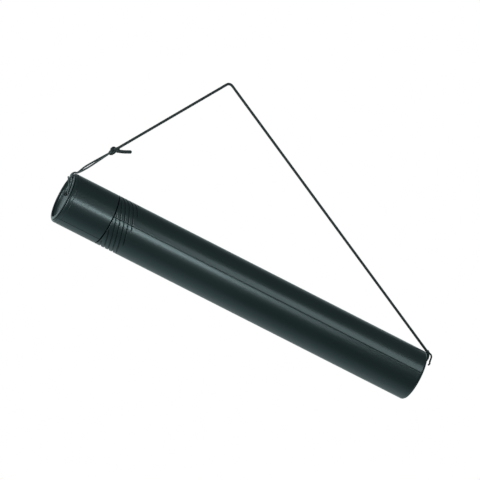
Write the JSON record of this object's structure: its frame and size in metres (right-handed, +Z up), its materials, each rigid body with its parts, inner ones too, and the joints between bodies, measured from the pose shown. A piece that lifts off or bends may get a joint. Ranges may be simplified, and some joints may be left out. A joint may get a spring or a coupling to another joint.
{
  "type": "telescopic document tube",
  "caption": "Telescopic carrying tube for rolled drawings: a round barrel, an inner tube with a head that screws out of it, end plugs and a thin braided carrying cord.",
  "frame": {"origin": "where the hanging carrying cord turns over its hook", "axes": "+Z up; the tube's axis lies in the XZ plane, 26.3 degrees from level, with the head at the higher end towards -X"},
  "size_m": [0.6235, 0.085, 0.5025],
  "materials": {
    "moulded_plastic": "satin blow-moulded",
    "plug_plastic": "satin injection-moulded",
    "braided_cord": "fine braid"
  },
  "bodies": {
    "barrel": {"barrel": "moulded_plastic", "foot_plug": "plug_plastic", "main_cord": "braided_cord", "foot_knot": "braided_cord", "foot_loop": "braided_cord", "foot_end": "braided_cord"},
    "cord_yoke": {"tied_knot": "braided_cord", "tied_end": "braided_cord", "head_loop": "braided_cord"},
    "inner_tube": {"inner_tube": "moulded_plastic", "head_plug": "plug_plastic", "head_knot": "braided_cord", "head_end": "braided_cord"}
  },
  "joints": [
    {"name": "draw_out", "type": "slide", "parent": "barrel", "child": "cord_yoke", "axis": [-0.8965, 0, 0.4431], "range_m": [0, 0.144], "deforming": ["main_cord"]},
    {"name": "twist", "type": "hinge", "parent": "cord_yoke", "child": "inner_tube", "pos_m": [0.30594, 0, -0.46454], "axis": [-0.8965, 0, 0.4431], "range_deg": [0, 721], "deforming": ["head_loop"]}
  ],
  "couplings": [
    {"joint": "twist", "follows": "draw_out", "rad_per_m": 87.266}
  ]
}
